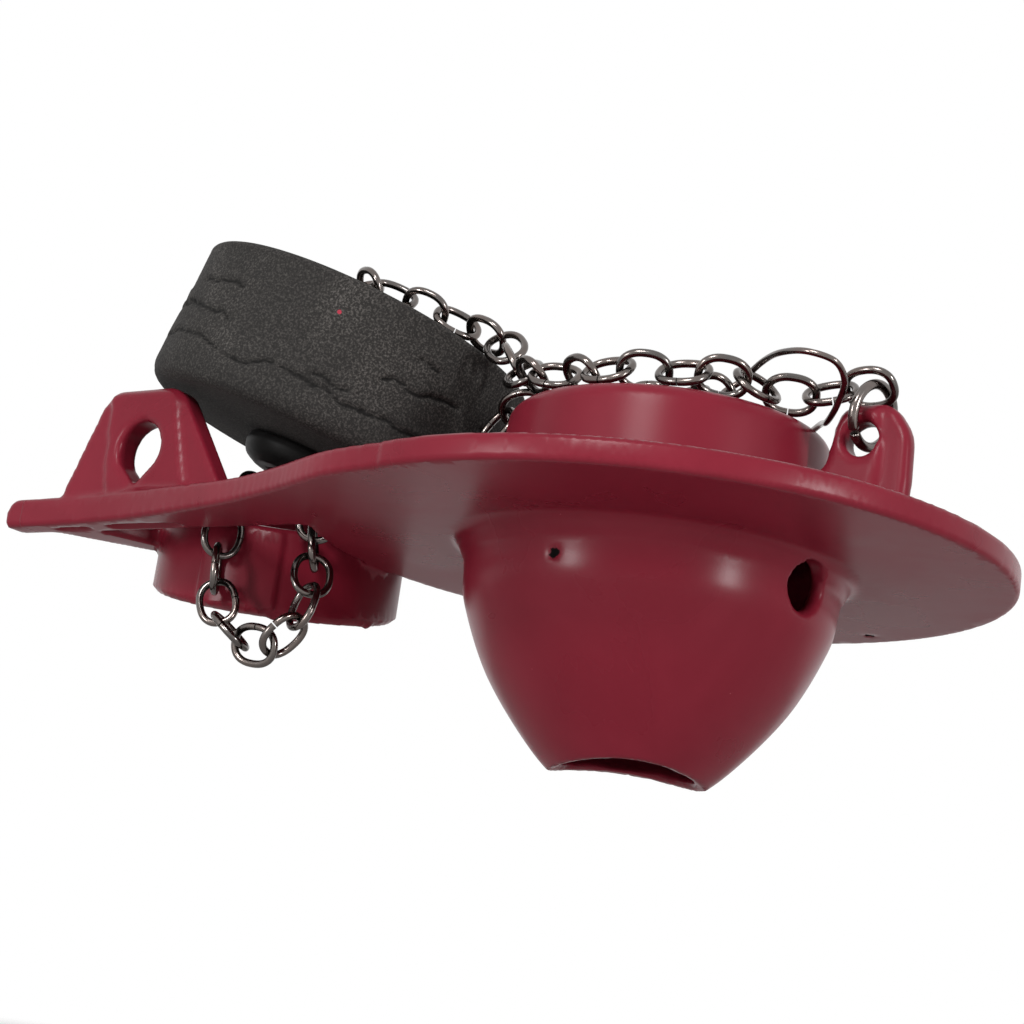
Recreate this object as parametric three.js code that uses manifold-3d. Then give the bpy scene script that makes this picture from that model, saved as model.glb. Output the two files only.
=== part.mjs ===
// Toilet flapper with an adjustable foam float: a moulded rubber body, a float with its hub,
// a chain of open links, a hook ring at the body's ear and a wire clip for the flush lever.
// Millimetres, +Z up. The origin is the centre of the seat face, the flat underside of the disc.
// +X points to the ear that takes the chain, -X to the two hinge ears.
import * as THREE from 'three';
import { mergeVertices } from 'three/addons/utils/BufferGeometryUtils.js';
import Module from 'manifold-3d';

const wasm = await Module();
wasm.setup();

// Driving dimensions
const clearance = 0.3;

const discRadius = 53;
const plateThickness = 3.7;
const plateEdgeRound = 0.7;

const wall = 2.2;
const bellRadius = 28;
const bellRootFillet = 2.5;
const bellShoulder = 5;
const bellDepth = 33.5;
const archRadius = 34;
const archRise = 3.2;
const archTurn = 37;
const archTip = 2.5;
const ventRadius = 3.8;
const ventDrop = 4;
const ventTurn = -6;

const hatRadius = 25.2;
const hatTopRadius = 24.3;
const hatHeight = 20.7;
const hatRound = 2.4;
const hatRootFillet = 0.9;

const armLength = 109.3;
const armInner = 25.5;
const armOuterEnd = 30.4;
const armThickness = 4.8;
const armEdgeRound = 0.6;
const armNose = 2.6;
const farArmLift = 0.25;
const liftStart = 36;
const liftEnd = 92;

const earThickness = 4;
const earPanel = 0.7;
const earTop = 22.4;
const earBaseBack = 97;
const earBaseFront = 61;
const earTopBack = 89.6;
const earTopFront = 73.6;
const earCornerRound = 3;
const pinHoleRadius = 4.6;
const pinHoleX = 80;
const pinHoleZ = 12.2;
const pinHolePoint = 6.1;

const ringCentre = 73.9;
const ringOuter = 20.3;
const ringWall = 2.6;
const ringHeight = 14.6;
const ringBottom = -6.3;
const ringSlopeX = -0.176;
const ringSlopeY = 0.223;
const ringPad = 0.7;
const webBack = 102;
const webFront = 92;
const webRingBack = 89.3;
const webRingFront = 86;
const webSpread = 11.5;
const webThickness = 3.2;
const pocketFront = 70;
const pocketBack = 100;
const pocketRibFront = 87;
const pocketRibBack = 90.5;
const pocketDepth = 1.3;

const chainEarFront = 40;
const chainEarBack = 27.4;
const chainEarTop = 22.7;
const chainEarThickness = 3;
const chainEarBoss = 4.4;
const chainHoleRadius = 2.6;
const chainHoleX = 32.8;
const chainHoleZ = 17.4;

const floatRadius = 29.1;
const floatHeight = 24;
const floatRoundTop = 1;
const floatRoundBottom = 3.2;
const floatCentre = new THREE.Vector3(-62.5, -5.6, 29.1);
const floatAxis = new THREE.Vector3(0.28, 0.13, 0.951).normalize();
const hubRadius = 10;
const hubFlange = 4.4;
const hubStemRadius = 6;
const hubStemHeight = 12;
const hubBore = 4.4;

const linkCount = 54;
const linkWidth = 7;
const linkWire = 1.2;
const linkSlit = 0.35;
const linkPlay = 0.36;
const linkTwist = 22;
const linkSides = 5;
const linkSteps = 12;

const hookWire = 1.5;
const hookRadius = 4.5;
const hookLean = 12;
const hookTurn = -8;
const clipWire = 0.95;
const clipLength = 20.5;

// Shared geometry helpers
const degrees = Math.PI / 180;
const X = new THREE.Vector3(1, 0, 0);
const Y = new THREE.Vector3(0, 1, 0);
const Z = new THREE.Vector3(0, 0, 1);

function smoothStep(from, to, value) {
  const t = THREE.MathUtils.clamp((value - from) / (to - from), 0, 1);
  return t * t * (3 - 2 * t);
}

function solid(geometry) {
  const bare = new THREE.BufferGeometry();
  bare.setAttribute('position', geometry.getAttribute('position'));
  if (geometry.index) bare.setIndex(geometry.index);
  const merged = mergeVertices(bare, 1e-4);
  return new wasm.Manifold(new wasm.Mesh({
    numProp: 3,
    vertProperties: new Float32Array(merged.getAttribute('position').array),
    triVerts: new Uint32Array(merged.index.array),
  }));
}

function geometryOf(manifold) {
  const mesh = manifold.getMesh();
  const geometry = new THREE.BufferGeometry();
  geometry.setAttribute('position', new THREE.BufferAttribute(new Float32Array(mesh.vertProperties), 3));
  geometry.setIndex(new THREE.BufferAttribute(new Uint32Array(mesh.triVerts), 1));
  return geometry;
}

function union(parts) {
  return parts.reduce((sum, part) => sum.add(part));
}

// A profile of [radius, height] pairs turned about Z.
function turned(profile, segments) {
  const points = profile.map(([r, z]) => new THREE.Vector2(r, z));
  return new THREE.LatheGeometry(points, segments).rotateX(90 * degrees);
}

// An outline in the XZ plane, centred on y with the given thickness.
function fin(shape, y, thickness, curveSegments = 10) {
  const geometry = new THREE.ExtrudeGeometry(shape, { depth: thickness, bevelEnabled: false, curveSegments });
  return geometry.translate(0, 0, -thickness / 2).rotateX(90 * degrees).translate(0, y, 0);
}

// A plan outline pulled up from one height to another.
function slab(shape, from, to, curveSegments = 10) {
  const geometry = new THREE.ExtrudeGeometry(shape, { depth: to - from, bevelEnabled: false, curveSegments });
  return geometry.translate(0, 0, from);
}

// A closed polygon whose corners are rounded by the radius that each one states.
function roundedPolygon(corners) {
  const shape = new THREE.Shape();
  const count = corners.length;
  corners.forEach(([x, y, round], i) => {
    const corner = new THREE.Vector2(x, y);
    const before = new THREE.Vector2(...corners[(i + count - 1) % count]);
    const after = new THREE.Vector2(...corners[(i + 1) % count]);
    const start = corner.clone().lerp(before, round / corner.distanceTo(before));
    const end = corner.clone().lerp(after, round / corner.distanceTo(after));
    if (i === 0) shape.moveTo(start.x, start.y);
    else shape.lineTo(start.x, start.y);
    if (round > 0) shape.quadraticCurveTo(corner.x, corner.y, end.x, end.y);
  });
  shape.closePath();
  return shape;
}

// A solid skinned over sections that all have the same number of points.
function loft(sections) {
  const size = sections[0].length;
  const points = sections.flat();
  const index = [];
  for (let s = 0; s < sections.length - 1; s += 1) {
    for (let k = 0; k < size; k += 1) {
      const a = s * size + k;
      const b = s * size + (k + 1) % size;
      index.push(a, b, b + size, a, b + size, a + size);
    }
  }
  const last = (sections.length - 1) * size;
  for (let k = 1; k < size - 1; k += 1) {
    index.push(0, k + 1, k);
    index.push(last, last + k, last + k + 1);
  }
  const geometry = new THREE.BufferGeometry().setFromPoints(points);
  geometry.setIndex(index);
  return geometry;
}

function cylinderAlong(direction, radius, length, segments) {
  const geometry = new THREE.CylinderGeometry(radius, radius, length, segments);
  const turn = new THREE.Quaternion().setFromUnitVectors(Y, direction.clone().normalize());
  return geometry.applyQuaternion(turn);
}

// A round wire along a curve.
function wire(curve, diameter, steps, sides) {
  const section = new THREE.Shape();
  for (let k = 0; k < sides; k += 1) {
    const angle = (k / sides) * 2 * Math.PI;
    const x = (diameter / 2) * Math.cos(angle);
    const y = (diameter / 2) * Math.sin(angle);
    if (k === 0) section.moveTo(x, y);
    else section.lineTo(x, y);
  }
  section.closePath();
  return new THREE.ExtrudeGeometry(section, { steps, extrudePath: curve, bevelEnabled: false });
}

// Moulded body: the disc with its bell below and its hat above, all one hollow turned form
function discAndBell() {
  const disc = turned([
    [0, 0],
    [discRadius - plateEdgeRound, 0],
    [discRadius, plateEdgeRound],
    [discRadius, plateThickness - plateEdgeRound],
    [discRadius - plateEdgeRound, plateThickness],
    [0, plateThickness],
  ], 96);

  const bellSide = new THREE.SplineCurve([
    new THREE.Vector2(bellRadius, -bellRootFillet),
    new THREE.Vector2(bellRadius - 0.3, -bellShoulder),
    new THREE.Vector2(bellRadius * 0.957, -0.3 * bellDepth),
    new THREE.Vector2(bellRadius * 0.786, -0.6 * bellDepth),
    new THREE.Vector2(bellRadius * 0.496, -0.9 * bellDepth),
    new THREE.Vector2(bellRadius * 0.24, -1.07 * bellDepth),
  ]).getPoints(13).map((p) => [p.x, p.y]);
  const fillet = [];
  for (let k = 0; k < 3; k += 1) {
    const angle = (k / 3) * 90 * degrees;
    fillet.push([
      bellRadius + bellRootFillet * (1 - Math.sin(angle)),
      -bellRootFillet * (1 - Math.cos(angle)),
    ]);
  }
  const bellEnd = bellSide[bellSide.length - 1][1];
  const sunk = plateThickness / 3;
  const bell = turned([
    [0, bellEnd],
    ...bellSide.slice().reverse(),
    ...fillet.reverse(),
    [bellRadius + bellRootFillet, sunk],
    [0, sunk],
  ], 56);

  const rim = [];
  for (let k = 0; k <= 3; k += 1) {
    const angle = (k / 3) * 90 * degrees;
    rim.push([
      hatTopRadius - hatRound * (1 - Math.cos(angle)),
      hatHeight - hatRound * (1 - Math.sin(angle)),
    ]);
  }
  const hat = turned([
    [0, sunk],
    [hatRadius + hatRootFillet, sunk],
    [hatRadius + hatRootFillet, plateThickness],
    [hatRadius, plateThickness + hatRootFillet],
    ...rim,
    [0, hatHeight],
  ], 56);

  const inside = turned([
    [0, 1.2 * bellEnd],
    [bellSide[bellSide.length - 1][0] - wall, 1.2 * bellEnd],
    ...bellSide.filter((_, i) => i % 3 === 0).reverse().map(([r, z]) => [Math.max(r - wall, 1), z]),
    [bellRadius - wall, 0],
    [hatRadius - wall, wall],
    [hatTopRadius - wall, hatHeight - wall - hatRound / 2],
    [hatTopRadius - wall - hatRound / 2, hatHeight - wall],
    [0, hatHeight - wall],
  ], 40);
  return { shell: union([solid(disc), solid(bell), solid(hat)]), inside: solid(inside) };
}

// The arch that leaves two pointed lobes at the foot of the bell, and the vent hole in its front
function bellCuts() {
  const through = new THREE.Vector3(0, -1, 0);
  through.applyAxisAngle(X, archTip * degrees).applyAxisAngle(Z, archTurn * degrees);
  const arch = cylinderAlong(through, archRadius, 3 * bellRadius, 64);
  arch.translate(0, 0, -bellDepth + archRise - archRadius);
  const vent = cylinderAlong(X, ventRadius, bellRadius, 28);
  vent.translate(bellRadius, 0, -ventDrop).rotateZ(ventTurn * degrees);
  return union([solid(arch), solid(vent)]);
}

// One arm from the disc to the hinge end. side is -1 for the near arm and +1 for the far one,
// which is flexed upward as the hinge end of the rubber twists.
function arm(side) {
  const outer = new THREE.SplineCurve([
    new THREE.Vector2(-11, discRadius - 1.4),
    new THREE.Vector2(-24, discRadius - 3.9),
    new THREE.Vector2(-38.5, armOuterEnd + 12.9),
    new THREE.Vector2(-52, armOuterEnd + 8.3),
    new THREE.Vector2(-66, armOuterEnd + 4.8),
    new THREE.Vector2(-80, armOuterEnd + 1.9),
    new THREE.Vector2(2 - earBaseBack, armOuterEnd + 0.4),
    new THREE.Vector2(-armLength, armOuterEnd),
  ]);
  const steps = 20;
  const noseSteps = 4;
  const noseShare = armNose / (armLength - 11);
  const stations = [];
  for (let s = 0; s < steps; s += 1) stations.push((s / steps) * (1 - noseShare));
  for (let s = 0; s <= noseSteps; s += 1) {
    stations.push(1 - noseShare * Math.cos((s / noseSteps) * 90 * degrees));
  }
  const sections = [];
  for (const station of stations) {
    const edge = outer.getPointAt(station);
    const thick = THREE.MathUtils.lerp(plateThickness, armThickness, smoothStep(46, 78, -edge.x));
    const nose = THREE.MathUtils.clamp((station - 1 + noseShare) / noseShare, 0, 1);
    const top = thick - armNose * (1 - Math.sqrt(1 - nose * nose)) * 0.8;
    const inner = armInner + 8 * smoothStep(-42, -30, edge.x);
    const r = armEdgeRound;
    const outline = [
      [inner, r], [inner + r, 0], [edge.y - r, 0], [edge.y, r],
      [edge.y, top - r], [edge.y - r, top], [inner + r, top], [inner, top - r],
    ];
    const section = outline.map(([y, z]) => {
      return new THREE.Vector3(edge.x, side * y, z + (side > 0 ? farLift(edge.x, y) : 0));
    });
    sections.push(side > 0 ? section.reverse() : section);
  }
  return solid(loft(sections));
}

function farLift(x, y) {
  return farArmLift * smoothStep(liftStart, liftEnd, -x) * (y + armOuterEnd);
}

// A hinge ear stands on its arm in the XZ plane, with a raised panel around the pin hole.
function hingeEar(side) {
  const low = 1.5;
  const lift = side > 0 ? farLift(-pinHoleX, armOuterEnd - earThickness / 2) : 0;
  const slopeBack = (earBaseBack - earTopBack) / (earTop - armThickness);
  const slopeFront = (earTopFront - earBaseFront) / (earTop - armThickness);
  const drop = armThickness - low;
  const outline = roundedPolygon([
    [-earBaseBack - slopeBack * drop, low, 0],
    [-earBaseFront + slopeFront * drop, low, 0],
    [-earTopFront, earTop, earCornerRound],
    [-earTopBack, earTop, earCornerRound],
  ]);
  const face = armOuterEnd - earThickness / 2;
  const blade = fin(outline, side * face, earThickness);
  const panel = fin(roundedPolygon([
    [-pinHoleX - 6.4, low + 3.5, 3],
    [-earBaseFront - 6.2, low, 0],
    [-earTopFront - 0.6, earTop - 0.6, 1.2],
    [-pinHoleX - 8.4, earTop - 0.1, 0],
  ]), side * (face + earPanel / 2), earThickness + earPanel);
  const hole = new THREE.Shape();
  hole.moveTo(-pinHoleX, pinHolePoint);
  hole.lineTo(-pinHoleX + pinHoleRadius * 0.83, pinHoleZ - pinHoleRadius * 0.55);
  hole.absarc(-pinHoleX, pinHoleZ, pinHoleRadius, -33 * degrees, 213 * degrees, false);
  hole.closePath();
  const bore = fin(hole, side * face, 3 * earThickness, 14);
  return {
    ear: solid(blade).add(solid(panel)).subtract(solid(bore)).translate(0, 0, lift),
    bore: solid(bore).translate(0, 0, lift),
  };
}

// Shallow pockets under the near arm's hinge end, with a rib left between them
function armPockets() {
  const pocket = (back, front) => solid(slab(roundedPolygon([
    [-back, -armInner - 3.9, 1],
    [-front, -armInner - 3.5, 0.8],
    [-front, -armInner - 1.7, 0.8],
    [-back, -armInner - 1.5, 1],
  ]), -1, pocketDepth, 4));
  return union([pocket(pocketRibFront, pocketFront), pocket(pocketBack, pocketRibBack)]);
}

// The ring that slips over the overflow tube, leaning with the flexed hinge end
function tubeRing() {
  const bore = ringOuter - ringWall;
  const middle = turned([
    [bore, ringBottom + 0.6],
    [bore + 0.6, ringBottom],
    [ringOuter - 0.9, ringBottom],
    [ringOuter, ringBottom + 0.9],
    [ringOuter, ringBottom + ringHeight],
    [bore, ringBottom + ringHeight],
    [bore, ringBottom + 0.6],
  ], 48);
  const pad = new THREE.Shape();
  pad.absarc(0, 0, ringOuter + ringPad, -84 * degrees, -47 * degrees, false);
  pad.absarc(0, 0, ringOuter - 1, -47 * degrees, -84 * degrees, true);
  pad.closePath();
  const padSolid = slab(pad, ringBottom + 0.4, ringBottom + ringHeight, 8);
  const ring = union([solid(middle), solid(padSolid)]);
  const lean = (geometry) => {
    const position = geometry.getAttribute('position');
    for (let i = 0; i < position.count; i += 1) {
      const rise = ringSlopeX * position.getX(i) + ringSlopeY * position.getY(i);
      position.setZ(i, position.getZ(i) + rise);
    }
    return geometry.translate(-ringCentre, 0, 0);
  };
  return solid(lean(geometryOf(ring)));
}

// Webs tie the ring to both arms at the hinge end.
function webs() {
  const web = (side) => slab(roundedPolygon(side < 0 ? [
    [-webBack, -armInner - 1.5, 0],
    [-webFront, -armInner - 1.5, 0],
    [-webRingFront, -webSpread - 3.5, 0],
    [-webRingBack, -webSpread, 0],
  ] : [
    [-webBack, armInner + 1.5, 0],
    [-webRingBack, webSpread, 0],
    [-webRingFront, webSpread + 3.5, 0],
    [-webFront, armInner + 1.5, 0],
  ]), 0, webThickness);
  const farRise = farLift(-(webBack + webFront) / 2, armInner) - 1.5;
  return union([solid(web(-1)), solid(web(1).translate(0, 0, farRise))]);
}

// The ear on top of the disc that takes the hook ring
function chainEar() {
  const foot = plateThickness - 1;
  const blade = fin(roundedPolygon([
    [hatTopRadius - 1, foot, 0],
    [chainEarFront + 0.4, foot, 0],
    [chainEarFront, chainEarTop - 4.6, 2],
    [chainEarFront - 3.2, chainEarTop, 2.4],
    [chainEarBack + 1.6, chainEarTop - 0.4, 2.4],
    [chainEarBack, 13.5, 0.8],
    [hatTopRadius - 1, 11.5, 0],
  ]), 0, chainEarThickness, 6);
  const boss = fin(roundedPolygon([
    [hatTopRadius - 1, foot, 0],
    [chainEarFront - 5, foot, 0],
    [chainEarFront - 4, chainEarTop - 6, 2],
    [chainEarFront - 5.2, chainEarTop - 0.3, 2],
    [chainEarBack + 1.8, chainEarTop - 0.7, 2],
    [chainEarBack + 0.2, 13.4, 0.8],
    [hatTopRadius - 1, 11.2, 0],
  ]), 0, chainEarBoss, 6);
  const hole = cylinderAlong(Y, chainHoleRadius, 3 * chainEarBoss, 20).translate(chainHoleX, 0, chainHoleZ);
  return solid(blade).add(solid(boss)).subtract(solid(hole));
}

function flapperBody() {
  const { shell, inside } = discAndBell();
  const near = hingeEar(-1);
  const far = hingeEar(1);
  const tubeBore = solid(new THREE.CylinderGeometry(ringOuter - ringWall, ringOuter - ringWall, 60, 48)
    .rotateX(90 * degrees).translate(-ringCentre, 0, 0));
  const moulding = union([shell, arm(-1), arm(1), near.ear, far.ear, tubeRing(), webs(), chainEar()]);
  return moulding.subtract(union([inside, near.bore, far.bore, tubeBore]))
    .subtract(bellCuts()).subtract(armPockets());
}

// Foam float and the hub that grips the chain in its middle, both turned about the float's own axis
const floatTop = floatHeight / 2;
const hubFoot = -floatTop - clearance - hubFlange;

function floatProfile() {
  const half = floatHeight / 2;
  const bore = hubStemRadius + clearance;
  const round = (r, sign, from, to) => {
    const points = [];
    for (let k = 0; k <= 4; k += 1) {
      const angle = THREE.MathUtils.lerp(from, to, k / 4) * degrees;
      points.push([floatRadius - r + r * Math.cos(angle), sign * (half - r) + r * Math.sin(angle)]);
    }
    return points;
  };
  return [
    [bore, -half],
    ...round(floatRoundBottom, -1, -90, 0),
    ...round(floatRoundTop, 1, 0, 90),
    [bore, half],
    [bore, -half],
  ];
}

function hubProfile() {
  const seat = hubFoot + hubFlange;
  return [
    [hubBore, hubFoot],
    [hubRadius - 2.6, hubFoot],
    [hubRadius - 0.8, hubFoot + 1],
    [hubRadius, hubFoot + 2.8],
    [hubRadius - 0.4, seat],
    [hubStemRadius, seat],
    [hubStemRadius, seat + hubStemHeight],
    [hubBore, seat + hubStemHeight],
    [hubBore, hubFoot],
  ];
}

// Chain routes: points chosen along the lying chain, each with the way that its even links face.
// A chain at rest has its links tilted by turns, so its middle lies this high above a surface.
const rest = linkWire / 2 + ((linkWidth - linkWire) / 2) * Math.SQRT1_2 + clearance;
const along = (distance) => floatCentre.clone().addScaledVector(floatAxis, distance).toArray();
const onHat = (x, y) => [x, y, hatHeight + rest];
const onPlate = (x, y) => [x, y, plateThickness + rest];
const byHat = (out, y, z) => [-hatTopRadius - out, y, z];

function onFloat(x, y) {
  const level = floatAxis.dot(floatCentre) + floatTop + rest;
  return [x, y, (level - floatAxis.x * x - floatAxis.y * y) / floatAxis.z];
}

const lying = { up: Z, lean: 45 };
const onTop = { up: floatAxis, lean: 45 };
const hanging = { up: new THREE.Vector3(0.6, -0.78, -0.2), lean: 0 };
const twisted = { up: hanging.up, lean: -90 };
const chainRoute = [
  [[35.6, 0, 25.5], lying],
  [[30, -0.4, 25.2], lying],
  [onHat(25, -2.4), lying],
  [onHat(20, -5.8), lying],
  [onHat(18, -12.4), lying],
  [onHat(13.2, -15.8), lying],
  [onHat(6.8, -17.2), lying],
  [onHat(0.6, -20.4), lying],
  [onHat(-6.4, -17), lying],
  [[-12.4, -18, 24.6], lying],
  [[-18.6, -13.2, 26], lying],
  [[-23.6, -9.6, 29.8], lying],
  [[-29.2, -7, 35.1], lying],
  [onFloat(-35.4, -7.4), onTop],
  [onFloat(-39.4, -12), onTop],
  [onFloat(-44, -13.6), onTop],
  [onFloat(-48.8, -17), onTop],
  [onFloat(-53.6, -13.6), onTop],
  [onFloat(-56.8, -9), onTop],
  [along(floatTop + 2), onTop],
  [along(floatTop - 5), onTop],
  [along(hubFoot + 2), hanging],
  [along(hubFoot - 1.6), hanging],
  [[-68.4, -12, 9.4], hanging],
  [[-67.2, -16.8, 9.2], hanging],
  [[-66.4, -20.8, 6.6], hanging],
  [[-66.3, -22.7, 1], hanging],
  [[-66.2, -22.9, -4.8], hanging],
  [[-65, -23.2, -10.6], hanging],
  [[-61, -22.8, -16.2], hanging],
  [[-55.4, -22.1, -18.7], hanging],
  [[-51, -20.8, -16.2], twisted],
  [[-49.9, -19, -11.1], twisted],
  [[-51, -17.2, -4.9], twisted],
  [[-54.2, -14.8, 0.6], twisted],
  [[-55.2, -13.9, 5.6], twisted],
  [[-51.6, -13.2, 9.4], lying],
  [onPlate(-44, -13.2), lying],
  [onPlate(-38.6, -12), lying],
  [byHat(8.3, -9.8, 8.6), lying],
  [byHat(4.9, -8.4, 13.4), lying],
  [byHat(4.3, -7.2, 18.6), lying],
  [byHat(0.9, -6.2, 23.4), lying],
  [byHat(-3.9, -5.6, 24.2), lying],
  [onHat(-15, -5.2), lying],
  [onHat(-9, -5), lying],
  [onHat(-3, -5.6), lying],
  [onHat(3, -5.2), lying],
  [onHat(8.6, -6.2), lying],
  [onHat(14, -7.6), lying],
];

const chainPath = new THREE.CatmullRomCurve3(
  chainRoute.map(([p]) => new THREE.Vector3(...p)),
  false,
  'centripetal',
);
const linkLength = chainPath.getLength() / linkCount + 2 * linkWire + linkPlay;

// One open oval link in its own frame: long along X, flat in XY, its slit in one long side
class LinkCurve extends THREE.Curve {
  getPoint(t, target = new THREE.Vector3()) {
    const half = (linkWidth - linkWire) / 2;
    const straight = (linkLength - linkWidth) / 2;
    const around = 2 * Math.PI * half + 4 * straight;
    const open = linkSlit / around;
    let run = (open / 2 + t * (1 - open)) * around;
    if (run < straight) return target.set(run, half, 0);
    run -= straight;
    const turn = Math.PI * half;
    if (run < turn) {
      const angle = run / half;
      return target.set(straight + half * Math.sin(angle), half * Math.cos(angle), 0);
    }
    run -= turn;
    if (run < 2 * straight) return target.set(straight - run, -half, 0);
    run -= 2 * straight;
    if (run < turn) {
      const angle = run / half;
      return target.set(-straight - half * Math.sin(angle), -half * Math.cos(angle), 0);
    }
    run -= turn;
    return target.set(-straight + run, half, 0);
  }
}

// Links stand between joints spaced evenly on the route. Every second link is turned a quarter, and
// the chain twists only a little from one link to the next.
function placeLinks() {
  const placed = [];
  let way = null;
  for (let k = 0; k < linkCount; k += 1) {
    const from = chainPath.getPointAt(k / linkCount);
    const to = chainPath.getPointAt((k + 1) / linkCount);
    const direction = to.clone().sub(from).normalize();
    const place = Math.round(chainPath.getUtoTmapping((k + 0.5) / linkCount) * (chainRoute.length - 1));
    const { up, lean } = chainRoute[place][1];
    const wanted = squareTo(up, direction).applyAxisAngle(direction, lean * degrees);
    if (way) {
      way = squareTo(way, direction);
      const cross = way.clone().cross(wanted).dot(direction);
      const turn = Math.atan(cross / way.dot(wanted));
      way.applyAxisAngle(direction, THREE.MathUtils.clamp(turn, -linkTwist * degrees, linkTwist * degrees));
    } else {
      way = wanted;
    }
    const facing = way.clone();
    if (k % 2) facing.applyAxisAngle(direction, 90 * degrees);
    placed.push({
      position: from.add(to).multiplyScalar(0.5),
      basis: new THREE.Matrix4().makeBasis(direction, facing.clone().cross(direction), facing),
    });
  }
  return placed;
}

function squareTo(vector, direction) {
  return vector.clone().addScaledVector(direction, -vector.dot(direction)).normalize();
}

// Hook ring through the ear: a round ring that closes with a narrow slit
class HookCurve extends THREE.Curve {
  getPoint(t, target = new THREE.Vector3()) {
    const slit = 0.6 / hookRadius;
    const start = -0.25 * Math.PI + slit / 2;
    const angle = start + t * (2 * Math.PI - slit);
    return target.set(0, -hookRadius * Math.cos(angle), hookRadius * Math.sin(angle));
  }
}

// Wire clip for the flush lever: two long legs with a round bend at the front end, lying by the
// hook ring. Its points are shares of its length, measured from the middle of the ring.
const hookCentre = new THREE.Vector3(chainHoleX + 0.7, 0, chainHoleZ + hookRadius - 0.7);

function clipCurve() {
  return new THREE.CatmullRomCurve3([
    [-0.893, -0.415, 0.054],
    [-1, -0.361, 0.107],
    [-0.912, -0.302, 0.205],
    [-0.698, -0.38, 0.317],
    [-0.434, -0.566, 0.302],
    [-0.2, -0.634, 0.263],
    [-0.044, -0.537, 0.215],
    [-0.054, -0.361, 0.137],
    [-0.18, -0.195, 0.029],
    [-0.332, -0.029, -0.029],
    [-0.493, 0.176, 0.024],
    [-0.727, 0.41, 0.029],
  ].map((p) => hookCentre.clone().addScaledVector(new THREE.Vector3(...p), clipLength)), false, 'centripetal');
}

// Materials
const rubber = () => new THREE.MeshStandardMaterial({ color: 0x7a2230, roughness: 0.5, metalness: 0 });
const foam = () => new THREE.MeshStandardMaterial({ color: 0x2b2928, roughness: 0.95, metalness: 0 });
const plastic = () => new THREE.MeshStandardMaterial({ color: 0x0d0c0c, roughness: 0.3, metalness: 0 });
const steel = () => new THREE.MeshStandardMaterial({ color: 0x6e6764, roughness: 0.3, metalness: 1 });

// Assembly
const flapper = new THREE.Group();

function addPiece(parent, name, geometry, material) {
  const mesh = new THREE.Mesh(geometry, material);
  mesh.name = name;
  parent.add(mesh);
  return mesh;
}

addPiece(flapper, 'flapper_body', geometryOf(flapperBody()), rubber());

const floatGroup = new THREE.Group();
floatGroup.position.copy(floatCentre);
floatGroup.quaternion.setFromUnitVectors(Z, floatAxis);
flapper.add(floatGroup);
addPiece(floatGroup, 'foam_float', turned(floatProfile(), 64), foam());
addPiece(floatGroup, 'float_hub', turned(hubProfile(), 32), plastic());

const hook = addPiece(flapper, 'hook_ring', wire(new HookCurve(), hookWire, 32, 8), steel());
hook.position.copy(hookCentre);
hook.rotation.set(0, hookLean * degrees, hookTurn * degrees, 'ZYX');

addPiece(flapper, 'lever_clip', wire(clipCurve(), clipWire, 44, 6), steel());

placeLinks().forEach(({ position, basis }, k) => {
  const name = `chain_link_${String(k + 1).padStart(2, '0')}`;
  const link = addPiece(flapper, name, wire(new LinkCurve(), linkWire, linkSteps, linkSides), steel());
  link.position.copy(position);
  link.quaternion.setFromRotationMatrix(basis);
});

export default flapper;
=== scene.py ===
# %% [markdown]
# A toilet flapper. It is a soft rubber body with a foam float and a chain of open links. The rigid
# layout is already built and packed, so this file starts from it and dresses each piece: it adds
# fine shape and a finish, and leaves every piece in the place where the layout holds it.

# %% Load the frame
import math

import bmesh
import bpy
import numpy as np
from mathutils import Matrix, Vector, noise
from mathutils.bvhtree import BVHTree


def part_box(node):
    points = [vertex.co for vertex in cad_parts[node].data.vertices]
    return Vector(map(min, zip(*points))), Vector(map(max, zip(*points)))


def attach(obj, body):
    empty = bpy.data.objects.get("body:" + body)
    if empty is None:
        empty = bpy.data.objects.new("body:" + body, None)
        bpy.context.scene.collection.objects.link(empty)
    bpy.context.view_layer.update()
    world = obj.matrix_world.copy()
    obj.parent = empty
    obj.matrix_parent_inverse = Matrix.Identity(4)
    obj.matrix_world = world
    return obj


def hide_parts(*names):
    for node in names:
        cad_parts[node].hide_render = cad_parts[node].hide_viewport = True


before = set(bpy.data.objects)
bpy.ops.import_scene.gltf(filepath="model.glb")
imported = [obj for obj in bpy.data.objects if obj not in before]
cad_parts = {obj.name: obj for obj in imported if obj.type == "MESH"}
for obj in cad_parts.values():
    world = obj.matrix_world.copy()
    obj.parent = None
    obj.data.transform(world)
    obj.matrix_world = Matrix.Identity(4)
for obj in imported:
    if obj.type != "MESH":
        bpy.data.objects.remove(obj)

MM = 0.001
scene = bpy.context.scene
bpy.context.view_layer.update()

# %% [markdown]
# The flapper is seen from below its seat face, with the hinge end away to the left, so the camera
# stands low and looks up a little. Its three axes are written as the columns of a matrix, because
# the view is also rolled by eight degrees. A long lens keeps the disc from looking stretched.

# %% The camera
VIEW_FROM = Vector((169.440, -261.150, -71.072)) * MM
VIEW_AXES = Matrix((
    (0.810839, 0.027612, 0.584618),
    (0.568674, -0.273353, -0.775814),
    (0.138385, 0.961518, -0.237347),
))
FOCAL_PIXELS = 2150
PICTURE_PIXELS = 1024
SENSOR_MM = 36

camera_data = bpy.data.cameras.new("view")
camera_data.sensor_width = SENSOR_MM
camera_data.lens = FOCAL_PIXELS / PICTURE_PIXELS * SENSOR_MM
camera_data.clip_start = 0.01
camera = bpy.data.objects.new("view", camera_data)
camera.matrix_world = Matrix.Translation(VIEW_FROM) @ VIEW_AXES.to_4x4()
scene.collection.objects.link(camera)
scene.camera = camera
print("lens", round(camera_data.lens, 2), "mm")


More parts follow.
